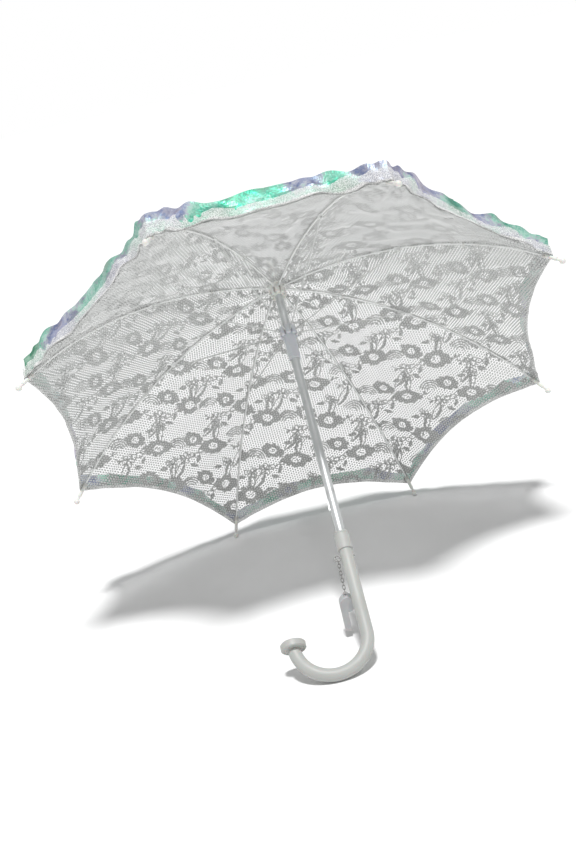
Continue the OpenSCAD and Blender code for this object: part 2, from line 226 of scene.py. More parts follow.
# Gathers that fan out from a rib tip, and a slight slackness all over the cloth
def clothRelief(rib, radius, turn):
    fromTip = np.maximum(canopy["hemRadius"] - radius, 0) + canopy["pleatFoot"]
    fromRib = radius * np.abs(turn)
    distance = np.hypot(fromTip, fromRib)
    fan = np.arctan2(fromRib, fromTip)
    near = np.exp(-(distance / canopy["pleatReach"]) ** 2) * np.minimum(fromRib / canopy["pleatStart"], 1)
    low, high = canopy["pleatShares"]
    pleats = (canopy["pleatHeight"] * (low + (high - low) * upperShare(rib, turn)) * near
              * np.sin(fan * canopy["pleatCount"] + rib * 1.7 + 0.7 * np.sin(distance * 90)))
    inside = np.sin(np.pi * np.minimum(np.abs(turn) / halfGore, 1))
    slack = sum(np.sin(radius * outwards + turn * sideways + rib * step)
                for outwards, sideways, step in canopy["slackWaves"])
    return pleats + canopy["slack"] * slack * inside


# A point of the cloth of one rib: turn is the angle round the shaft from that rib
def clothPoint(rib, radius, turn, lift):
    radius = np.asarray(radius, float)
    turn = np.asarray(turn, float)
    side = np.minimum(np.abs(turn) / halfGore, 1)
    flatRadius = np.cos(halfGore) / np.cos(halfGore * (1 - side))
    share = (radius - canopy["pivotRadius"]) / ribSpan
    dip = canopy["goreDip"] * np.sin(np.pi * np.clip(share, 0, 1)) * (1 - (1 - side) ** 2)
    high = lift - dip + clothRelief(rib, radius, turn)
    edge = (radius + high * (radius - arcOut) / arcRadius) * flatRadius
    height = ribHeight(radius) + high * (ribHeight(radius) - arcHigh) / arcRadius
    return (np.array(rimCentre)
            + (edge * np.cos(turn))[..., None] * np.array(outward[rib])
            + (edge * np.sin(turn))[..., None] * np.array(across[rib])
            + height[..., None] * np.array(up))


# Mesh helpers

def makePiece(name, points, faces, material, flat=False, uv=None):
    mesh = bpy.data.meshes.new(name)
    mesh.from_pydata([tuple(p) for p in points], [], [tuple(f) for f in faces])
    mesh.polygons.foreach_set("use_smooth", [not flat] * len(mesh.polygons))
    if uv is not None:
        layer = mesh.uv_layers.new(name="cut")
        layer.data.foreach_set("uv", np.asarray(uv, np.float32).ravel())
    mesh.materials.append(material)
    mesh.validate()
    piece = bpy.data.objects.new(name, mesh)
    bpy.context.scene.collection.objects.link(piece)
    return piece


def gridFaces(columns, rows, closed=False):
    wrap = columns if closed else columns - 1
    return [(j * columns + i, j * columns + (i + 1) % columns,
             (j + 1) * columns + (i + 1) % columns, (j + 1) * columns + i)
            for j in range(rows - 1) for i in range(wrap)]


# A round cord along points, as a tube of sides, closed at its ends
def cordTube(line, radius, sides):
    line = np.asarray(line, float)
    heading = np.gradient(line, axis=0)
    heading /= np.linalg.norm(heading, axis=1)[:, None]
    side = np.cross(heading, np.array([0.31, 0.22, 0.93]))
    side /= np.linalg.norm(side, axis=1)[:, None]
    over = np.cross(heading, side)
    angles = np.arange(sides) * 2 * math.pi / sides
    rings = (line[:, None] + radius * (np.cos(angles)[None, :, None] * side[:, None]
                                       + np.sin(angles)[None, :, None] * over[:, None]))
    faces = gridFaces(sides, len(line), closed=True)
    last = (len(line) - 1) * sides
    faces += [tuple(range(sides))[::-1], tuple(range(last, last + sides))]
    return rings.reshape(-1, 3), faces


def joinShapes(shapes):
    points, faces, count = [], [], 0
    for shapePoints, shapeFaces in shapes:
        points.append(np.asarray(shapePoints, float))
        faces += [tuple(n + count for n in face) for face in shapeFaces]
        count += len(shapePoints)
    return np.concatenate(points), faces


# Lace: the floral figures of one repeat of the pattern, drawn flat in millimetres.
# A point's third number is its height over the net, where a raised thread outlines the figure.

lace = {
    "repeatWidth": 172.0,
    "repeatHeight": 116.0,
    "rowShift": 0.13,       # of a repeat's width, from each row of repeats to the next
    "spots": [(0, 0, 4), (88, 9, -8), (43, 59, 8), (132, 66, -4)],  # flowers, each with its turn in degrees
    "threadWidth": 1.5,
    "threadStep": 1.5,      # between the places where a thread may waver
    "waver": 0.5,
    "outline": 1.0,
    "outlineHeight": 0.35,
    "fillHeight": 0.15,
    "flowerPoints": 58,
    "flowerPetals": 9,
    "petalDepth": 0.10,
    "raggedness": 0.13,
    "eye": 0.34,            # share of a flower that its speckled middle takes
    "specks": 7,
    "speck": (1.9, 1.5),
    "shellArcs": (5.0, 8.4, 11.8, 15.0),
    "shellThread": 1.8,
    "shellWaver": 0.35,
    "podBelly": 0.15,
    "podWaver": 0.6,
    "podThread": (1.4, 4.4),  # at its ends and at its belly
    "leafBelly": 0.24,
    "leafWaver": 0.8,
    "blossomPetals": 5,
    "blossomHeart": (4.0, 3.4),
    "stemThread": 1.6,
    "stemWaver": 0.4,
    "stemLeaf": (6.4, 3.2),
    "stemLeafGap": 6,
    "stemLeafTurn": 50,
    "garlandGap": 7,
    "garlandLoop": (9.0, 6.4),
    "garlandSway": 1.6,
}


def band(outer, inner):
    outer = np.asarray(outer, float)
    inner = np.asarray(inner, float)
    count = len(outer)
    faces = [(i, (i + 1) % count, count + (i + 1) % count, count + i) for i in range(count)]
    return np.concatenate([outer, inner]), faces


def disc(loop):
    loop = np.asarray(loop, float)
    count = len(loop)
    faces = [(i, (i + 1) % count, count) for i in range(count)]
    return np.concatenate([loop, loop.mean(axis=0)[None]]), faces


def ribbon(line, width):
    line = np.asarray(line, float)
    heading = np.gradient(line, axis=0)
    heading /= np.maximum(np.linalg.norm(heading, axis=1), 1e-6)[:, None]
    side = np.stack([-heading[:, 1], heading[:, 0]], axis=1) * (np.asarray(width) / 2).reshape(-1, 1)
    points = np.stack([line + side, line - side], axis=1).reshape(-1, 2)
    return points, [(2 * i, 2 * i + 1, 2 * i + 3, 2 * i + 2) for i in range(len(line) - 1)]


def lift(shape, height):
    points, faces = shape
    return np.column_stack([points, np.full(len(points), height)]), faces


def fill(shape):
    return lift(shape, lace["fillHeight"])


def raised(shape):
    return lift(shape, lace["outlineHeight"])


def closedLine(loop):
    return np.concatenate([loop, loop[:1]])


def oval(width, height, count):
    angle = np.arange(count) * 2 * math.pi / count
    return np.stack([width / 2 * np.cos(angle), height / 2 * np.sin(angle)], axis=1)


laceDice = random.Random(11)


# A thread's line, resampled finely and made uneven, as machine lace is
def uneven(line, waver):
    line = np.asarray(line, float)
    lengths = np.concatenate([[0], np.cumsum(np.linalg.norm(np.diff(line, axis=0), axis=1))])
    count = max(3, int(lengths[-1] / lace["threadStep"]) + 1)
    places = np.linspace(0, lengths[-1], count)
    points = np.stack([np.interp(places, lengths, line[:, n]) for n in (0, 1)], axis=1)
    return points + [[laceDice.uniform(-waver, waver) for _ in range(2)] for _ in points]


def thread(line, width=lace["threadWidth"], waver=lace["waver"]):
    return raised(ribbon(uneven(line, waver), width))


# A flower shaped like an eye: a ragged dense body, drawn out at both ends, round a speckled middle
def flower(width, height):
    count, most, eye = lace["flowerPoints"], lace["raggedness"], lace["eye"]
    angle = np.arange(count) * 2 * math.pi / count
    ragged = np.array([1 + laceDice.uniform(-most, most) for _ in range(count)])
    petals = 1 + lace["petalDepth"] * np.cos(lace["flowerPetals"] * angle + laceDice.uniform(0, 6))
    reach = 0.62 + 0.38 * np.abs(np.cos(angle)) ** 2.5
    body = np.stack([width / 2 * reach * np.cos(angle) * petals * ragged,
                     height / 2 * np.sin(angle) * petals * ragged], axis=1)
    ring = np.stack([width * eye * 0.5 * np.cos(angle), height * eye * 0.68 * np.sin(angle)], axis=1)
    shapes = [fill(band(body, ring)), raised(ribbon(closedLine(body), lace["outline"]))]
    for _ in range(lace["specks"]):
        place = [laceDice.uniform(-0.32, 0.32) * width * eye, laceDice.uniform(-0.4, 0.4) * height * eye]
        shapes.append(fill(disc(oval(*lace["speck"], 6) + place)))
    return shapes


# Nested arcs with an uneven edge, like a small shell
def shell():
    shapes = []
    for n, radius in enumerate(lace["shellArcs"]):
        angle = np.linspace(math.radians(188 + 3 * n), math.radians(352 - 3 * n), 9 + 5 * n)
        line = np.stack([radius * np.cos(angle), radius * np.sin(angle)], axis=1)
        shapes.append(thread(line, lace["shellThread"], lace["shellWaver"]))
    return shapes


# A long leaf: an outline with one heavy side, and the net inside it
def pod(length):
    share = np.linspace(0, 1, 15)
    belly = length * lace["podBelly"] * np.sin(math.pi * share) ** 0.8
    upper = np.stack([length * share, belly], axis=1)
    lower = np.stack([length * share, -belly * 0.85], axis=1)
    upper = uneven(upper, lace["podWaver"])
    thin, thick = lace["podThread"]
    heavy = ribbon(upper, thin + (thick - thin) * np.sin(np.linspace(0, math.pi, len(upper))))
    return [raised(heavy), thread(lower)]


# A small ragged leaf, filled
def leaf(length):
    share = np.linspace(0, 1, 9)
    edge = length * lace["leafBelly"] * np.sin(math.pi * share ** 0.8)
    waver = lace["leafWaver"]
    sides = [np.stack([length * share, side * edge], axis=1)
             + [[0, laceDice.uniform(-waver, waver)] for _ in share] for side in (1, -1)]
    points = np.stack(sides, axis=1).reshape(-1, 2)
    return [fill((points, [(2 * i, 2 * i + 1, 2 * i + 3, 2 * i + 2) for i in range(len(share) - 1)]))]


# An open blossom: uneven petal outlines round a small dense middle
def blossom(size):
    shapes = [fill(disc(oval(*lace["blossomHeart"], 9)))]
    for n in range(lace["blossomPetals"]):
        turn = n * 360 / lace["blossomPetals"] + 10
        petal = turnedLoop(oval(size * 0.44, size * 0.34, 12), turn, size * 0.3)
        shapes.append(thread(closedLine(petal)))
    return shapes


# A flat loop moved out along its own first direction, turned, and set down at a centre
def turnedLoop(loop, degrees, out, centre=(0, 0)):
    c, s = math.cos(math.radians(degrees)), math.sin(math.radians(degrees))
    x, y = loop[:, 0] + out, loop[:, 1]
    return np.stack([x * c - y * s + centre[0], x * s + y * c + centre[1]], axis=1)


# A stem bowed to one side, with small leaves in turn on each side
def stem(length, bow):
    share = np.linspace(0, 1, 12)
    line = np.stack([length * share, bow * np.sin(math.pi * share)], axis=1)
    shapes = [thread(line, lace["stemThread"], lace["stemWaver"])]
    small = oval(*lace["stemLeaf"], 8)
    last = len(line) - 1
    for n in range(int(length // lace["stemLeafGap"])):
        foot = line[min(last, 1 + round(last * n * lace["stemLeafGap"] / length))]
        turn = lace["stemLeafTurn"] if n % 2 else -lace["stemLeafTurn"]
        shapes.append(fill(disc(turnedLoop(small, turn, lace["stemLeaf"][0] / 2, foot))))
    return shapes


# A chain of uneven loops
def garland(length, bow):
    count = max(2, int(length // lace["garlandGap"]))
    shapes = []
    for n in range(count):
        share = (n + 0.5) / count
        sway = lace["garlandSway"] if n % 2 else -lace["garlandSway"]
        centre = [length * share, bow * math.sin(math.pi * share) + sway]
        shapes.append(thread(closedLine(oval(*lace["garlandLoop"], 12) + centre)))
    return shapes


def turnFlat(shapes, shift, degrees):
    c, s = math.cos(math.radians(degrees)), math.sin(math.radians(degrees))
    turned = []
    for points, faces in shapes:
        x = points[:, 0] * c - points[:, 1] * s + shift[0]
        y = points[:, 0] * s + points[:, 1] * c + shift[1]
        turned.append((np.column_stack([x, y, points[:, 2]]), faces))
    return turned


# One repeat: a spray of figures round each flower, each figure with its place and its turn in degrees
def laceRepeat():
    figures = []
    far = laceDice.uniform
    for x, y, swing in lace["spots"]:
        tilt = swing + far(-6, 6)
        figures += [
            (flower(38 + far(-3, 3), 23 + far(-2, 3)), (x, y), tilt),
            (flower(31, 20), (x + 32, y - 14), tilt - 22),
            (stem(17, far(-3, 3)), (x - 16, y - 1), tilt + 200),
            (garland(24, far(-4, 4)), (x + 14, y + 4), tilt + 24),
            (blossom(17), (x + 42, y + 13), far(0, 70)),
            (shell(), (x + 55, y - 3), tilt + far(-20, 20)),
            (pod(30), (x + 43, y + 16), tilt + 62),
            (pod(24), (x - 2, y - 8), tilt - 98),
            (garland(20, far(-3, 3)), (x - 8, y - 24), tilt - 48),
            (blossom(13), (x - 2, y - 31), far(0, 70)),
            (leaf(13), (x + 6, y - 27), tilt + 10),
            (leaf(12), (x + 20, y + 10), tilt + 74),
            (leaf(13), (x + 34, y + 22), tilt + 160),
            (stem(15, 2), (x + 46, y + 12), tilt - 12),
        ]
    shapes = []
    for figure, shift, degrees in figures:
        shapes += turnFlat(figure, shift, degrees)
    return joinShapes(shapes)


# Each gore is cut from the lace on its own: the pattern's turn in degrees and its shift in millimetres
goreCuts = [(49, 3), (20, 21), (-12, 40), (-41, 12), (-68, 50), (60, 66), (-54, 30), (74, 58)]


# One gore's figures, cut at its seams and its hem: a list of points and faces for each of its two ribs.
# Flat places are metres: first across the gore from its middle, then along it from the rib pivots.
def goreFigures(gore, repeat):
    points, faces = repeat
    tris = np.array([(f[0], f[n], f[n + 1]) for f in faces for n in range(1, len(f) - 1)])
    degrees, shift = goreCuts[gore]
    c, s = math.cos(math.radians(degrees)), math.sin(math.radians(degrees))
    halves = {0: [], 1: []}
    length = float(alongRib(canopy["hemRadius"]))
    for i in range(-3, 4):
        for j in range(-5, 6):
            x = points[:, 0] + (i + lace["rowShift"] * j) * lace["repeatWidth"] + shift
            y = points[:, 1] + j * lace["repeatHeight"] + shift
            flatX = (x * c - y * s) * mm
            flatY = (x * s + y * c) * mm + length / 2
            radius = radiusAt(np.clip(flatY, mm, length))
            inside = ((flatY > 0) & (flatY < length)
                      & (np.abs(flatX) < radius * math.sin(halfGore)))
            if not inside.any():
                continue
            turn = np.arctan2(flatX, radius * math.cos(halfGore))
            inside &= radius < hemAt(halfGore - np.abs(turn))
            kept = tris[inside[tris].any(axis=1)]
            middle = flatX[kept].mean(axis=1)
            for half, chosen in ((0, kept[middle >= 0]), (1, kept[middle < 0])):
                if len(chosen):
                    halves[half].append(cutHalf(half, chosen, radius, turn, points[:, 2]))
    return [joinShapes(halves[half]) for half in (0, 1)]


leastFace = 1e-8  # square metres, twice the area: smaller faces are left out


# The figures on one side of a gore's middle, held inside that half of the gore
def cutHalf(half, tris, radius, turn, height):
    used, where = np.unique(tris, return_inverse=True)
    tris = where.reshape(tris.shape)
    low, high = ((0.0, halfGore) if half == 0 else (-halfGore, 0.0))
    turn = np.clip(turn[used], low, high)
    ribTurn = turn - halfGore if half == 0 else turn + halfGore
    radius = np.clip(radius[used], canopy["startRadius"], hemAt(ribTurn))
    flat = np.column_stack([radius * np.cos(ribTurn), radius * np.sin(ribTurn)])
    a, b, c = flat[tris[:, 0]], flat[tris[:, 1]], flat[tris[:, 2]]
    area = np.abs((b - a)[:, 0] * (c - a)[:, 1] - (b - a)[:, 1] * (c - a)[:, 0])
    return np.column_stack([radius, ribTurn, height[used]]), tris[area > leastFace]


# Materials

netThread = {
    "period": 0.0037,
    "thickness": (0.15, 0.55),  # levels of the waves where a thread starts and where it is whole
    "unevenness": 0.4,
    "bunching": 1.05,       # how far the gathers close the holes
    "opening": 0.92,        # how much a hole lets through
    "low": tone(0.66, 0.67, 0.66),
    "high": tone(0.78, 0.79, 0.78),
}


# A hexagonal net: three waves of thread at 60 degrees to each other, closed up where it is bunched
def netPaint():
    paint = Paint("lace net", {"Roughness": 0.75, "Sheen Weight": 0.15, "Specular IOR Level": 0.25})
    cut = paint.node("ShaderNodeUVMap", {"uv_map": "cut"})
    parts = [paint.node("ShaderNodeSeparateXYZ", None, {0: cut}, output=n) for n in (0, 1)]
    wave = 2 * math.pi / (netThread["period"] * math.cos(math.pi / 6))
    threads = 0.0
    for n in range(3):
        turn = n * math.pi / 3
        threads = threads + ((parts[0] * math.cos(turn) + parts[1] * math.sin(turn)) * wave).cosine()
    uneven = paint.noise(55.0, 2.0)
    bunched = paint.node("ShaderNodeAttribute", {"attribute_name": "bunched"}, output="Fac")
    threads = threads + uneven * netThread["unevenness"] + bunched * netThread["bunching"]
    holes = 1 - threads.rising(*netThread["thickness"])
    shade = paint.mix(paint.noise(30.0), netThread["low"], netThread["high"])
    paint.skinTakes(colour=shade, alpha=1 - holes * netThread["opening"],
                    normal=paint.bump(1 - holes, 0.5, 0.0003))
    return paint.material


# Stitched thread: fuzzy, and a little open between the stitches where least is below 1
def threadPaint(name, look):
    paint = Paint(name, {"Sheen Weight": 0.2, "Specular IOR Level": 0.3})
    stitches = paint.noise(1400.0, 2.0)
    patches = paint.noise(160.0, 3.0)
    paint.skinTakes(
        colour=paint.mix(patches, look["low"], look["high"]),
        roughness=0.62 + stitches * 0.25,
        alpha=look["least"] + (1 - look["least"]) * stitches.rising(0.40, 0.56),
        normal=paint.bump(stitches + patches * 0.5, 0.6, 0.0004))
    return paint.material


# Painted shade: the figures are the same white thread as the net, given a darker grey for the shade they
# show inside the canopy
shadedFigureThread = {"low": tone(0.46, 0.46, 0.46), "high": tone(0.60, 0.60, 0.59), "least": 0.93}
sewingThread = {"low": tone(0.70, 0.69, 0.66), "high": tone(0.84, 0.83, 0.80), "least": 1.0}
hemCloth = {"low": tone(0.84, 0.84, 0.83), "high": tone(0.93, 0.93, 0.92), "least": 0.32, "most": 0.74}


# Folded net: several layers, so it is denser than the net and paler than its figures
def hemPaint():
    paint = Paint("folded hem", {"Sheen Weight": 0.2, "Specular IOR Level": 0.3, "Roughness": 0.7})
    grain = paint.noise(900.0, 2.0)
    cover = hemCloth["least"] + (hemCloth["most"] - hemCloth["least"]) * grain.rising(0.42, 0.58)
    paint.skinTakes(colour=paint.mix(paint.noise(60.0), hemCloth["low"], hemCloth["high"]), alpha=cover,
                    normal=paint.bump(grain, 0.5, 0.0004))
    return paint.material


film = {
    "creases": 60.0,
    "crackle": 380.0,
    "zones": 17.0,          # the size of the patches of one hue, as a noise scale
    "paintedGlow": 0.14,           # painted light: the film glows with its own colour, standing in for light that would come through it in shade
    "thickness": 420.0,     # of its thin layer, in nanometres
    "hues": [(0.24, (0.18, 0.42, 0.26)), (0.36, (0.02, 0.22, 0.11)), (0.44, (0.04, 0.33, 0.22)),
             (0.51, (0.24, 0.52, 0.40)), (0.56, (0.34, 0.35, 0.42)), (0.63, (0.13, 0.16, 0.33)),
             (0.70, (0.32, 0.31, 0.41))],
}


def filmPaint():
    finish = {"Coat Weight": 0.2, "Coat Roughness": 0.15, "Specular IOR Level": 0.6,
              "Thin Film Thickness": film["thickness"], "Emission Strength": film["paintedGlow"]}
    paint = Paint("iridescent film", finish)
    creases = paint.noise(film["creases"], 3.0)
    crackle = paint.noise(film["crackle"], 5.0)
    zones = paint.noise(film["zones"], 1.0) + creases * 0.26 + crackle * 0.24 - 0.25
    colour = paint.ramp(zones, film["hues"])
    glints = creases.rising(0.45, 0.60)
    # Painted light: the film's colours also feed its emission, so it glows even though it is no lamp
    paint.feed(paint.skin.inputs["Emission Color"], colour)
    paint.skinTakes(colour=colour, roughness=0.26 + 0.2 * creases, metallic=0.15 + 0.35 * glints,
                    alpha=0.80 + 0.16 * glints, normal=paint.bump(creases + crackle * 0.4, 0.7, 0.0015))
    return paint.material


# Moulded plastic: slight swirls of tone, a soft grain, and a few duller, handled patches
def plasticPaint(name, look):
    paint = Paint(name, {"Coat Weight": look["coat"], "Coat Roughness": 0.45, "Specular IOR Level": 0.4,
                         "Subsurface Weight": look["depth"], "Subsurface Scale": 0.003})
    swirl = paint.noise(look["swirl"], 4.0)
    grain = paint.noise(look["grain"], 3.0)
    handled = paint.noise(38.0, 3.0).rising(0.42, 0.68)
    paint.skinTakes(colour=paint.mix(swirl, look["low"], look["high"]),
                    roughness=look["roughness"] + 0.14 * handled + 0.06 * grain,
                    normal=paint.bump(grain + swirl * 0.5, 0.25, 0.00025))
    return paint.material


# Drawn or enamelled metal, with fine lines along one direction
def metalPaint(name, look, direction):
    paint = Paint(name, {"Coat Weight": look["coat"], "Coat Roughness": 0.15})
    lines = paint.noise(look["grain"], 3.0, paint.drawnPlace(direction, look["stretch"]))
    patches = paint.noise(look["patch"], 4.0)
    worn = patches.rising(0.56, 0.72)
    paint.skinTakes(colour=paint.mix(worn, look["high"], look["low"]),
                    roughness=look["roughness"] + 0.16 * lines + 0.12 * worn,
                    metallic=look["metallic"] + 0.15 * worn,
                    normal=paint.bump(lines + patches * 0.4, 0.3, 0.0002))
    return paint.material


cork = {"grain": 900.0,
        "tones": [(0.35, (0.30, 0.18, 0.09)), (0.5, (0.56, 0.38, 0.21)), (0.7, (0.68, 0.50, 0.30))]}


def corkPaint():
    paint = Paint("cork", {"Roughness": 0.85})
    grain = paint.noise(cork["grain"], 4.0)
    shade = paint.ramp(grain, cork["tones"])
    paint.skinTakes(colour=shade, normal=paint.bump(grain, 0.8, 0.0004))
    return paint.material


whitePlastic = {"low": tone(0.78, 0.78, 0.74), "high": tone(0.88, 0.88, 0.84), "swirl": 45.0,
                "grain": 700.0, "roughness": 0.30, "coat": 0.15, "depth": 0.15}
# Painted shade: the handle is the same white plastic as the crown, given a grey base colour for the shade it
# shows
shadedHandlePlastic = dict(whitePlastic, low=tone(0.43, 0.44, 0.42), high=tone(0.51, 0.52, 0.50), swirl=26.0,
                     roughness=0.44)
runnerPlastic = dict(whitePlastic, low=tone(0.60, 0.62, 0.65), high=tone(0.70, 0.73, 0.77))
whistlePlastic = dict(whitePlastic, low=tone(0.42, 0.43, 0.44), high=tone(0.54, 0.55, 0.56), roughness=0.38)
shaftMetal = {"low": tone(0.52, 0.53, 0.53), "high": tone(0.66, 0.68, 0.68), "grain": 900.0, "stretch": 40.0,
              "patch": 30.0, "roughness": 0.34, "metallic": 0.5, "coat": 0.15}
wireSteel = dict(shaftMetal, low=tone(0.46, 0.47, 0.46), high=tone(0.66, 0.67, 0.66), metallic=0.2, coat=0.2)
ribWire = dict(wireSteel, low=tone(0.84, 0.85, 0.84), high=tone(0.92, 0.93, 0.92), metallic=0.0)
darkMetal = dict(shaftMetal, low=tone(0.10, 0.10, 0.10), high=tone(0.26, 0.26, 0.25), metallic=0.8,
                 roughness=0.35, coat=0.0)

upVector = tuple(up)
finishes = {
    "shaft": metalPaint("enamelled shaft", shaftMetal, upVector),
    "wire": metalPaint("bright wire", wireSteel, upVector),
    "rib": metalPaint("enamelled rib wire", ribWire, upVector),
    "dark": metalPaint("dull steel", darkMetal, (0.0, 0.0, 1.0)),
    "white": plasticPaint("white plastic", whitePlastic),
    "handle": plasticPaint("handle plastic", shadedHandlePlastic),
    "runner": plasticPaint("runner plastic", runnerPlastic),
    "whistle": plasticPaint("whistle plastic", whistlePlastic),
    "cork": corkPaint(),
    "net": netPaint(),
    "figures": threadPaint("lace figures", shadedFigureThread),
    "thread": threadPaint("sewing thread", sewingThread),
    "hem": hemPaint(),
    "film": filmPaint(),
}


def finishNode(node, finish):
    target = frame["nodes"][node]
    target.data.materials.clear()
    target.data.materials.append(finishes[finish])


fixedFinishes = {
    "shaft": "shaft", "crown": "white", "crown_ring": "wire", "top_cap": "white", "ferrule": "white",
    "runner": "runner", "top_catch": "wire", "bottom_catch": "wire", "handle": "handle",
    "handle_disc": "handle", "screw_eye": "dark", "chain": "dark", "whistle": "whistle",
    "whistle_pea": "cork",
}
for node, finish in fixedFinishes.items():
    finishNode(node, finish)
for k in range(1, ribCount + 1):
    finishNode(f"rib_{k}", "rib")
    finishNode(f"stretcher_{k}", "wire")
    finishNode(f"rib_tip_{k}", "white")
print("finishes done")


# Canopy: each rib carries the cloth half way to its neighbours

net = {
    "columns": 49,
    "rows": 61,
    "seamWidth": 0.0012,
    "seamRows": 70,
    "hemWidth": 0.0034,
    "hemColumns": 65,
    "stitchRow": 0.82,      # place of the stitches, as a share of the hem's width
    "thickness": 0.0006,
    "grain": 15,            # degrees between the lace's own direction and the net's
    "slackening": 2.2,      # how much further apart the two faces lie on the upper side
    "slackFrom": 0.012,     # full slackness from this far off the rib
    "bunchedShare": (0.44, 0.84),  # upper share where the gathers start and where they are full
    "keepFolded": 0.16,     # share of its width that a rib's cloth keeps when the parasol is closed
}


# A soft piece rides its rib
def foldWithRib(piece, rib):
    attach(piece, f"rib_{rib + 1}")
    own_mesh(piece)


# Flat place of a point of a rib's cloth, in the gore that it belongs to
def flatPlace(radius, turn, side):
    fromMiddle = turn - halfGore if side > 0 else turn + halfGore
    return radius * math.cos(halfGore) * np.tan(fromMiddle), alongRib(radius)


def netCuts(rib, radius, turn, columns, rows):
    cuts = {}
    for side in (-1, 1):
        x, y = flatPlace(radius, turn, side)
        gore = rib if side < 0 else (rib - 1) % ribCount
        turned = math.radians(goreCuts[gore][0] + net["grain"])
        c, s = math.cos(turned), math.sin(turned)
        cuts[side] = np.stack([x * c + y * s, y * c - x * s], axis=-1)
    corners = []
    for face in gridFaces(columns, rows):
        side = -1 if face[0] % columns < columns // 2 else 1
        corners += [cuts[side][n] for n in face]
    return corners


# The net has two faces a thread apart. On the upper side it is slacker, and hangs in gathers.
def makeNet(rib):
    columns, rows = net["columns"], net["rows"]
    side = np.linspace(-1, 1, columns)
    side = np.sign(side) * np.abs(side) ** 1.15
    turn = np.tile(side * halfGore, rows)
    down = np.repeat(np.linspace(0, 1, rows), columns)
    radius = canopy["startRadius"] + (hemAt(turn) - canopy["startRadius"]) * down
    corners = netCuts(rib, radius, turn, columns, rows)
    faces = gridFaces(columns, rows)
    fromRib = np.minimum(radius * np.abs(turn) / net["slackFrom"], 1)
    inner = net["thickness"] * (1 + net["slackening"] * upperShare(rib, turn) * fromRib)
    low, high = net["bunchedShare"]
    bunched = np.clip((upperShare(rib, turn) - low) / (high - low), 0, 1) * (0.4 + 0.6 * down)
    pieces = []
    for name, drop in (("laceNet", 0.0), ("laceNetInside", inner)):
        points = clothPoint(rib, radius, turn, canopy["lift"] - drop)
        piece = makePiece(f"{name}{rib + 1}", points, faces, finishes["net"], uv=corners)
        piece.data.attributes.new("bunched", "FLOAT", "POINT").data.foreach_set("value", bunched)
        foldWithRib(piece, rib)
        pieces.append(piece)
    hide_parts(f"canopy_{rib + 1}")
    return pieces


# Folded hem: a strip whose edge is rolled to the inner side, with each line's reach inwards and its rise
def makeHem(rib):
    turn = np.linspace(-1, 1, net["hemColumns"]) * halfGore
    hem = hemAt(turn)
    width = net["hemWidth"]
    section = [(-width, 0.0002), (-width * 0.5, 0.0006), (-0.0006, 0.0005), (0.0, 0.0),
               (-0.0008, -0.0007), (-width * 0.5, -0.0006), (-width * 0.9, -0.0003)]
    rows = [clothPoint(rib, hem + inwards, turn, canopy["lift"] + rise) for inwards, rise in section]
    return np.concatenate(rows), gridFaces(net["hemColumns"], len(section))


# Seam over the rib, with the two gores' edges standing up on its outer side: half a profile, mirrored
def makeSeam(rib):
    rows = net["seamRows"]
    radius = np.linspace(canopy["startRadius"] + 2 * mm, canopy["hemRadius"] - mm, rows)
    profile = [(0.12, 0.0013), (0.4, 0.0004), (1.0, -0.0004)]
    section = [(-side, rise) for side, rise in reversed(profile)] + profile
    lines = [clothPoint(rib, radius, side * net["seamWidth"] / radius, canopy["lift"] + rise)
             for side, rise in section]
    return np.stack(lines, axis=1).reshape(-1, 3), gridFaces(len(section), rows)


stitches = {"length": 0.0026, "gap": 0.0016, "thread": 0.00022, "lift": 0.0007, "arch": 0.0003}


# Small running stitches that hold the hem down
def makeStitches(rib):
    shapes = []
    count = int(hemLength / (stitches["length"] + stitches["gap"]))
    for n in range(count):
        start = -halfGore + 2 * halfGore * (n + 0.5) / count
        turn = start + np.linspace(0, stitches["length"], 4) / canopy["hemRadius"]
        rise = canopy["lift"] + stitches["lift"] + stitches["arch"] * np.sin(np.linspace(0, math.pi, 4))
        line = clothPoint(rib, hemAt(turn) - net["hemWidth"] * net["stitchRow"], turn, rise)
        shapes.append(cordTube(line, stitches["thread"], 5))
    return joinShapes(shapes)


frill = {
    "width": 0.025,
    "least": 0.55,          # share of its width at the lowest part of the hem
    "lean": math.radians(55),
    "columns": 121,
    "rows": 9,
    "gathers": 4,
    "gatherDepth": 0.0016,
    "crumple": 0.0016,
    "creaseColumns": 13,
    "creaseRows": 2,
    "creaseDrift": 0.37,
    "edge": (0.90, 0.08, 0.04),  # share of the width, and how far waves and creases change it
    "seamInwards": 0.0025,
    "seamLift": 0.0015,
    "keepFolded": 0.12,
    "dice": 40,
}


# The gores' hem allowance, turned up in front of the frill and gathered with it
flange = {
    "height": 0.012,
    "least": 0.08,
    "shares": (1.3, 0.7),   # of its height, at the rib and half way to the next
    "columns": 161,
    "rows": 6,
    "gathers": 26,
    "depth": 0.0004,
    "seamInwards": 0.0006,
    "seamLift": 0.0006,
}


def makeFlange(rib):
    columns, rows = flange["columns"], flange["rows"]
    side = np.linspace(-1, 1, columns)
    turn = side * halfGore
    height = flange["height"] * (flange["least"] + (1 - flange["least"]) * upperShare(rib, turn))
    atRib, between = flange["shares"]
    points = []
    for j in range(rows):
        share = j / (rows - 1)
        ripple = np.sin(side * flange["gathers"] * math.pi + rib) * flange["depth"] * share
        out = height * share * (atRib - (atRib - between) * np.abs(side) ** 0.7)
        back = out * math.cos(frill["lean"]) + ripple
        rise = out * math.sin(frill["lean"]) - ripple * 0.5
        radius = hemAt(turn) - flange["seamInwards"] - back
        points.append(clothPoint(rib, radius, turn, canopy["lift"] + flange["seamLift"] + rise))
    return np.concatenate(points), gridFaces(columns, rows)


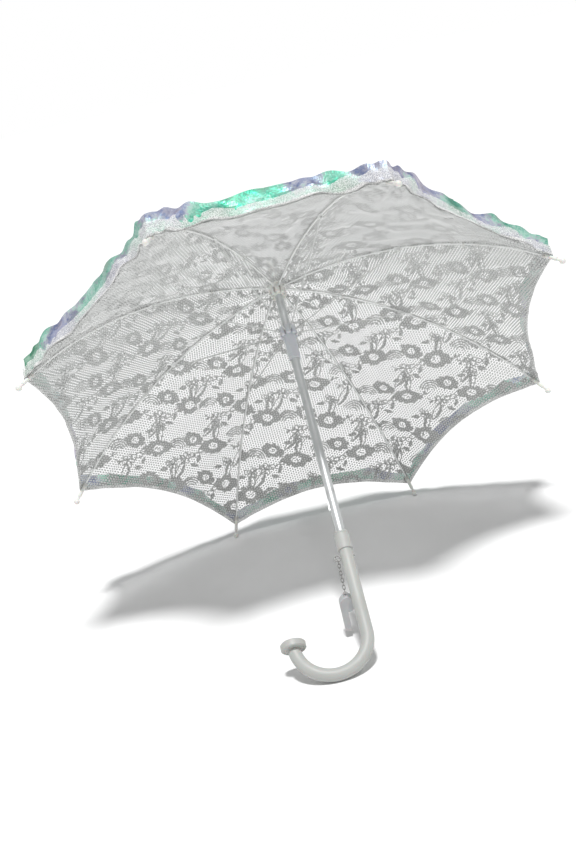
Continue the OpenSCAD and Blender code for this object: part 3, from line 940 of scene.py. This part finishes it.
def makeFigures():
    repeat = laceRepeat()
    halves = [[] for _ in range(ribCount)]
    for gore in range(ribCount):
        first, second = goreFigures(gore, repeat)
        halves[gore].append(first)
        halves[(gore + 1) % ribCount].append(second)
    pieces = []
    for rib in range(ribCount):
        places, faces = joinShapes(halves[rib])
        points = clothPoint(rib, places[:, 0], places[:, 1], canopy["lift"] + places[:, 2] * mm)
        piece = makePiece(f"laceFigures{rib + 1}", points, faces, finishes["figures"])
        foldWithRib(piece, rib)
        pieces.append(piece)
    return pieces


figurePieces = makeFigures()
print("lace figures done:", sum(len(piece.data.polygons) for piece in figurePieces), "faces")

for rib in range(ribCount):
    netPiece, netInside = makeNet(rib)
    points, faces = joinShapes([makeHem(rib), makeSeam(rib), makeFlange(rib)])
    hemPiece = makePiece(f"hemAndSeam{rib + 1}", points, faces, finishes["hem"])
    points, faces = makeStitches(rib)
    stitchPiece = makePiece(f"hemStitches{rib + 1}", points, faces, finishes["thread"])
    for piece in (hemPiece, stitchPiece):
        foldWithRib(piece, rib)
    start, end = alongRib(canopy["startRadius"]), alongRib(canopy["hemRadius"])
    width = 2 * canopy["hemRadius"] * math.sin(halfGore)
    end - start
    0.5 * width * (end - start) * 1.03
print("canopy done")


# Frill of film: sewn along the hem, leaning back over the cloth, gathered and crumpled

def makeFrill(rib):
    dice = random.Random(frill["dice"] + rib)
    columns, rows = frill["columns"], frill["rows"]
    side = np.linspace(-1, 1, columns)
    turn = side * halfGore
    width = frill["width"] * (frill["least"] + (1 - frill["least"]) * upperShare(rib, turn))
    creases = [[dice.uniform(-1, 1) for _ in range(columns // frill["creaseColumns"] + 2)]
               for _ in range(frill["creaseRows"] + 1)]
    points = []
    for j in range(rows):
        share = j / (rows - 1)
        lower = min(int(share * frill["creaseRows"]), frill["creaseRows"] - 1)
        between = share * frill["creaseRows"] - lower
        places = np.arange(columns) / frill["creaseColumns"]
        drift = frill["creaseDrift"] * between
        nearer, further = [np.interp(places + drift * n, np.arange(len(creases[0])), creases[n])
                           for n in (lower, lower + 1)]
        crumple = nearer * (1 - between) + further * between
        ripple = np.sin(side * frill["gathers"] * math.pi + rib + 0.8 * np.sin(side * 9 + rib))
        held = 1 - side ** 8
        crushed = crumple * frill["crumple"] * min(1, share * 2.5)
        wave = held * (ripple * frill["gatherDepth"] * share + crushed)
        base, swell, ragged = frill["edge"]
        edge = base + held * (swell * np.sin(side * 6 + rib * 2) + ragged * crumple)
        out = width * share * edge
        back = out * math.cos(frill["lean"]) + wave * math.sin(frill["lean"])
        rise = out * math.sin(frill["lean"]) - wave * math.cos(frill["lean"])
        radius = hemAt(turn) - frill["seamInwards"] - back
        points.append(clothPoint(rib, radius, turn, canopy["lift"] + frill["seamLift"] + rise))
    piece = makePiece(f"filmFrill{rib + 1}", np.concatenate(points), gridFaces(columns, rows),
                      finishes["film"], flat=True)
    foldWithRib(piece, rib)
    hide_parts(f"frill_{rib + 1}")
    hemLength * 1.03


for rib in range(ribCount):
    makeFrill(rib)
print("frill done")


# Ties: thread wound round each rib tip's socket and the cloth, and short ties along the rib

tie = {
    "thread": 0.00028,
    "pitch": 0.0007,
    "stepsInTurn": 16,
    "tipTurns": 6,
    "tipInwards": 0.008,
    "tipSize": (0.0027, 0.0033, 0.0009),  # half width, half height, and the middle above the rib
    "places": (0.085, 0.235),
    "turns": 2,
    "size": (0.0014, 0.0028, 0.0014),
}


def ribFrame(rib, radius):
    point = clothPoint(rib, radius, 0.0, 0.0)
    ahead = clothPoint(rib, radius + mm, 0.0, 0.0) - point
    ahead /= np.linalg.norm(ahead)
    side = np.array(across[rib])
    return point, ahead, side, np.cross(ahead, side)


def winding(rib, radius, turns, size, outside):
    width, height, centre = size
    point, ahead, side, over = ribFrame(rib, radius)
    angle = np.linspace(0, turns * 2 * math.pi, turns * tie["stepsInTurn"] + 1)
    line = (point + np.outer(angle / (2 * math.pi) * tie["pitch"], ahead)
            + np.outer(np.cos(angle) * width, side)
            + np.outer(np.sin(angle) * height + outside * centre, over))
    return cordTube(line, tie["thread"], 6)


for rib in range(ribCount):
    tipRadius = canopy["hemRadius"] - tie["tipInwards"]
    over = ribFrame(rib, tipRadius)[3]
    outside = 1 if Vector(over).dot(up) > 0 else -1
    shapes = [winding(rib, tipRadius, tie["tipTurns"], tie["tipSize"], outside)]
    for radius in tie["places"]:
        shapes.append(winding(rib, radius, tie["turns"], tie["size"], outside))
    points, faces = joinShapes(shapes)
    piece = makePiece(f"ribTies{rib + 1}", points, faces, finishes["thread"])
    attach(piece, f"rib_{rib + 1}")
print("ties done")


# Rosette: a pleated round of lace clamped between the crown and the cap

rosette = {
    "inner": 0.0053,
    "outer": 0.0165,
    "pleats": 24,
    "rows": 9,
    "height": 0.0007,
    "flatShare": 0.45,      # of its width, before the rim turns down
    "rimDrop": 0.0021,
    "sunk": 0.0004,
}


def makeRosette():
    patch = frame["nodes"]["canopy_centre"].data
    top = max(Vector(v.co).dot(up) for v in patch.vertices)
    axisPoint = crownCentre + up * (top - crownCentre.dot(up))
    columns = rosette["pleats"] * 8
    angle = np.arange(columns) * 2 * math.pi / columns
    right, ahead, over = np.array(outward[0]), np.array(across[0]), np.array(up)
    points = []
    for j in range(rosette["rows"]):
        share = j / (rosette["rows"] - 1)
        radius = rosette["inner"] + (rosette["outer"] - rosette["inner"]) * share
        radius = radius * (1 + 0.04 * share * np.cos(angle * rosette["pleats"]))
        rim = max(0.0, share - rosette["flatShare"]) / (1 - rosette["flatShare"])
        drop = -rosette["sunk"] - rosette["rimDrop"] * rim
        height = drop + rosette["height"] * share * np.sin(angle * rosette["pleats"]) * 0.5
        points.append(np.array(axisPoint) + np.outer(radius * np.cos(angle), right)
                      + np.outer(radius * np.sin(angle), ahead) + np.outer(height, over))
    piece = makePiece("topRosette", np.concatenate(points), gridFaces(columns, rosette["rows"], closed=True),
                      finishes["hem"])
    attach(piece, "pole")
    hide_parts("canopy_centre")


makeRosette()
print("rosette done")


# Floor, light and camera

studio = {
    "floorSize": 60.0,
    "floorTones": (tone(0.93, 0.93, 0.93), tone(0.96, 0.96, 0.96)),
    "surround": 0.38,       # light from all round
    "keyStrength": 2.6,
    "keySpread": 8.0,
    "keyTilt": (14.0, 0.0, 11.0),
    "lens": 52.4,
    "sensor": 36.0,
    "cameraPlace": (-0.0570, -1.4024, 0.6167),
    "cameraTilt": (72.94, 12.38, -4.90),
}


def makeStudio():
    half = studio["floorSize"] / 2
    corners = [(-half, -half, 0), (half, -half, 0), (half, half, 0), (-half, half, 0)]
    paint = Paint("floor", {"Roughness": 0.9, "Specular IOR Level": 0.1})
    paint.skinTakes(colour=paint.mix(paint.noise(3.0), *studio["floorTones"]))
    makePiece("floor", corners, [(0, 1, 2, 3)], paint.material)

    world = bpy.data.worlds.new("studio")
    bpy.context.scene.world = world
    world.use_nodes = True
    nodes, links = world.node_tree.nodes, world.node_tree.links
    sky = nodes["Background"]
    sky.inputs["Color"].default_value = tone(1.0, 1.0, 1.0)
    rays = nodes.new("ShaderNodeLightPath")
    strength = nodes.new("ShaderNodeMapRange")
    strength.inputs["To Min"].default_value = studio["surround"]
    links.new(rays.outputs["Is Camera Ray"], strength.inputs["Value"])
    links.new(strength.outputs["Result"], sky.inputs["Strength"])

    key = bpy.data.objects.new("key", bpy.data.lights.new("key", "SUN"))
    key.data.energy = studio["keyStrength"]
    key.data.angle = math.radians(studio["keySpread"])
    key.rotation_euler = [math.radians(a) for a in studio["keyTilt"]]
    bpy.context.scene.collection.objects.link(key)


def makeCamera():
    camera = bpy.data.objects.new("camera", bpy.data.cameras.new("camera"))
    camera.data.lens = studio["lens"]
    camera.data.sensor_width = studio["sensor"]
    camera.location = studio["cameraPlace"]
    camera.rotation_euler = [math.radians(a) for a in studio["cameraTilt"]]
    bpy.context.scene.collection.objects.link(camera)
    bpy.context.scene.camera = camera


makeStudio()
makeCamera()
bpy.context.scene.view_settings.view_transform = "Standard"
print("studio done")
